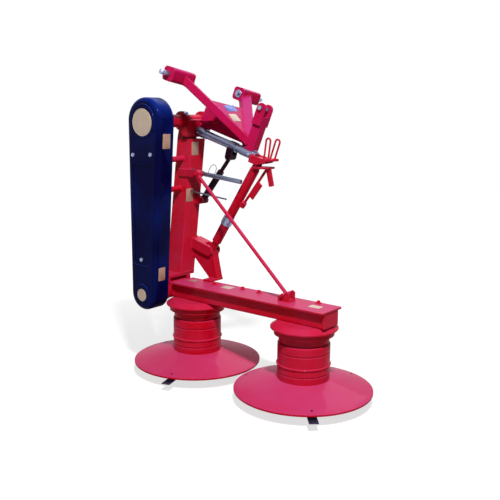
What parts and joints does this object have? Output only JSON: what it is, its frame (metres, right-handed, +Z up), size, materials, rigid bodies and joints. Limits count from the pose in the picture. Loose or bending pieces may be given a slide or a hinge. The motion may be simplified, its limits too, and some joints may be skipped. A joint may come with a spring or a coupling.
{
  "type": "two-drum rotary mower",
  "caption": "Tractor-mounted rotary drum mower, folded for parking, with belt arm, pivoting headstock and three-point hitch.",
  "frame": {"origin": "middle of the whole machine's box, on the ground it stands on", "axes": "+Z up; +X along the cutter bar away from the belt arm; +Y the way it is driven at work"},
  "size_m": [1.55, 1.0942, 1.8013],
  "materials": {
    "red_paint": "gloss",
    "blue_paint": "gloss",
    "dark_paint": "satin",
    "bright_steel": "satin",
    "zinc_steel": "satin",
    "knife_steel": "satin"
  },
  "bodies": {
    "cutter_bar": {"beam_box": "red_paint", "beam_cover": "red_paint", "beam_end_cap": "red_paint", "gearbox_housing": "red_paint", "drum_cap_left": "red_paint", "drum_cap_right": "red_paint", "spindle_left": "bright_steel", "spindle_right": "bright_steel", "tie_cradle": "red_paint"},
    "drum_left": {"drum_left": "red_paint", "disc_left": "red_paint", "knife_pins_left": "dark_paint", "knives_left": "knife_steel"},
    "drum_right": {"drum_right": "red_paint", "disc_right": "red_paint", "knife_pins_right": "dark_paint", "knives_right": "knife_steel"},
    "dish_left": {"dish_left": "knife_steel"},
    "dish_right": {"dish_right": "knife_steel"},
    "arm": {"arm_cheeks": "red_paint", "arm_base": "red_paint", "arm_column": "red_paint", "bearing_housing": "red_paint", "belt_guard": "blue_paint", "guard_stays": "red_paint", "arm_knee": "red_paint", "ram_ears": "red_paint", "storage_post": "zinc_steel", "tie_lug": "red_paint", "guard_plate": "red_paint"},
    "input": {"input_shaft": "bright_steel"},
    "tie_rod": {"tie_rod": "red_paint"},
    "headstock": {"head_bridge": "red_paint", "head_cheeks": "red_paint", "slew_shaft": "bright_steel", "ram_collar": "zinc_steel", "strut_bracket": "red_paint", "lock_pins": "red_paint", "ram_lug": "dark_paint"},
    "strut_rod": {"strut_rod": "red_paint"},
    "strut_tube": {"strut_tube": "red_paint", "strut_collar": "zinc_steel", "strut_side_rod": "red_paint"},
    "ram_barrel": {"ram_barrel": "dark_paint"},
    "ram_rod": {"ram_rod": "dark_paint"},
    "hitch": {"hitch_sleeves": "zinc_steel", "hitch_web": "red_paint", "hitch_bosses": "red_paint", "lower_pins": "bright_steel", "hitch_legs": "red_paint", "hitch_gusset": "red_paint", "top_leg": "red_paint", "top_clevis": "red_paint", "top_pin": "bright_steel", "hitch_shelf": "red_paint"}
  },
  "joints": [
    {"name": "drum_left_spin", "type": "hinge", "parent": "cutter_bar", "child": "drum_left", "pos_m": [-0.393, -0.12958, 0.132], "axis": [0, 0, 1], "continuous": true},
    {"name": "drum_right_spin", "type": "hinge", "parent": "cutter_bar", "child": "drum_right", "pos_m": [0.393, -0.12958, 0.132], "axis": [0, 0, 1], "continuous": true},
    {"name": "dish_left_spin", "type": "hinge", "parent": "cutter_bar", "child": "dish_left", "pos_m": [-0.393, -0.12958, 0], "axis": [0, 0, 1], "continuous": true},
    {"name": "dish_right_spin", "type": "hinge", "parent": "cutter_bar", "child": "dish_right", "pos_m": [0.393, -0.12958, 0], "axis": [0, 0, 1], "continuous": true},
    {"name": "arm_fold", "type": "hinge", "parent": "cutter_bar", "child": "arm", "pos_m": [-0.605, -0.12958, 0.4826], "axis": [0, -1, 0], "range_deg": [0, 90]},
    {"name": "input_spin", "type": "hinge", "parent": "arm", "child": "input", "pos_m": [-0.5745, -0.12958, 1.4966], "axis": [0, 1, 0], "continuous": true},
    {"name": "tie_swing", "type": "hinge", "parent": "arm", "child": "tie_rod", "pos_m": [-0.429, -0.08458, 1.187], "axis": [0, -1, 0], "range_deg": [-52, 0]},
    {"name": "head_tilt", "type": "hinge", "parent": "arm", "child": "headstock", "pos_m": [-0.5745, -0.12958, 1.4966], "axis": [0, -1, 0], "range_deg": [0, 22]},
    {"name": "strut_swing", "type": "hinge", "parent": "arm", "child": "strut_rod", "pos_m": [-0.405, 0.02042, 0.716], "axis": [0, -1, 0], "range_deg": [0, 5.15]},
    {"name": "strut_slide", "type": "slide", "parent": "strut_rod", "child": "strut_tube", "axis": [0.5436, 0, 0.8394], "range_m": [0, 0.21153]},
    {"name": "ram_swing", "type": "hinge", "parent": "arm", "child": "ram_barrel", "pos_m": [-0.47887, 0.02042, 1.019], "axis": [0, -1, 0], "range_deg": [0, 4.72]},
    {"name": "ram_slide", "type": "slide", "parent": "ram_barrel", "child": "ram_rod", "axis": [0.6281, 0, 0.7782], "range_m": [0, 0.14091]},
    {"name": "hitch_slew", "type": "hinge", "parent": "headstock", "child": "hitch", "pos_m": [-0.5865, 0.03042, 1.45635], "axis": [-0.9583, 0, 0.2857], "range_deg": [-8.6, 81.4]}
  ],
  "couplings": [
    {"joint": "drum_right_spin", "follows": "drum_left_spin", "ratio": -1},
    {"joint": "input_spin", "follows": "drum_left_spin", "ratio": 0.3},
    {"joint": "tie_swing", "follows": "arm_fold", "ratio": -0.57778},
    {"joint": "strut_swing", "follows": "head_tilt", "ratio": 0.23426},
    {"joint": "strut_slide", "follows": "head_tilt", "m_per_rad": 0.5509},
    {"joint": "ram_swing", "follows": "head_tilt", "ratio": 0.21464},
    {"joint": "ram_slide", "follows": "head_tilt", "m_per_rad": 0.36698}
  ]
}
